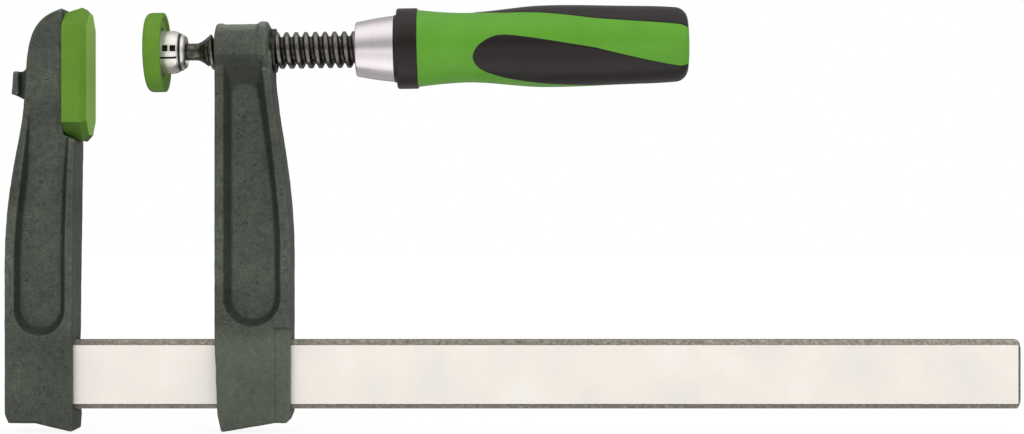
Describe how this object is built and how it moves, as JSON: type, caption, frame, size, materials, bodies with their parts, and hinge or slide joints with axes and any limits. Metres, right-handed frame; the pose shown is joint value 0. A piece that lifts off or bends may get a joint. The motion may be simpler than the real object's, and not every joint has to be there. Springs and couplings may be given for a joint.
{
  "type": "screw clamp",
  "caption": "Bar clamp with a fixed and a sliding cast arm, a screw spindle with swivel pad and handle.",
  "frame": {"origin": "on the clamping face of the fixed jaw cap, mid-plane, 120 mm above the bar's top edge", "axes": "+X along the bar from the fixed jaw towards the handle, +Y across the bar, +Z from the bar to the jaws"},
  "size_m": [0.4201, 0.0344, 0.1772],
  "materials": {
    "bar_steel": "bright drawn, with dark serrated bevels",
    "cast_paint": "hammered stove paint on a casting",
    "cap_plastic": "moulded, satin",
    "black_steel": "black oxide, oiled",
    "zinc_steel": "bright zinc plated",
    "bearing_bronze": "pressed, oiled",
    "ferrule_alloy": "fine turned",
    "core_plastic": "moulded",
    "grip_black": "soft moulded, satin",
    "handle_green": "moulded, semi-gloss"
  },
  "bodies": {
    "bar_and_fixed_arm": {"bar": "bar_steel", "fixed_arm": "cast_paint", "fixed_jaw_cap": "cap_plastic"},
    "sliding_arm": {"sliding_arm": "cast_paint", "spindle_nut": "black_steel"},
    "ball_cup": {"ball_cup": "bearing_bronze"},
    "spindle": {"spindle": "black_steel", "ferrule": "ferrule_alloy", "handle_core": "core_plastic", "handle_collar": "grip_black", "handle_shell": "handle_green", "grip_inlay_1": "grip_black", "grip_inlay_2": "grip_black", "grip_inlay_3": "grip_black"},
    "swivel_pad": {"pressure_plate": "black_steel", "socket_sleeve": "zinc_steel", "retaining_ring": "black_steel", "swivel_pad_cap": "cap_plastic"}
  },
  "joints": [
    {"name": "arm_slide", "type": "slide", "parent": "bar_and_fixed_arm", "child": "sliding_arm", "axis": [1, 0, 0], "range_m": [0, 0.3]},
    {"name": "spindle_feed", "type": "slide", "parent": "sliding_arm", "child": "ball_cup", "axis": [-0.9999, 0, -0.0157], "range_m": [-0.0101, 0.0211]},
    {"name": "spindle_turn", "type": "hinge", "parent": "ball_cup", "child": "spindle", "pos_m": [0.034, 0, -0.00047], "axis": [-0.9999, 0, -0.0157], "range_deg": [-900, 1890]},
    {"name": "pad_tilt", "type": "hinge", "parent": "ball_cup", "child": "swivel_pad", "pos_m": [0.034, 0, -0.00047], "axis": [0, 1, 0], "range_deg": [-8, 8]}
  ],
  "couplings": [
    {"joint": "spindle_feed", "follows": "spindle_turn", "m_per_rad": 0.00063662}
  ]
}
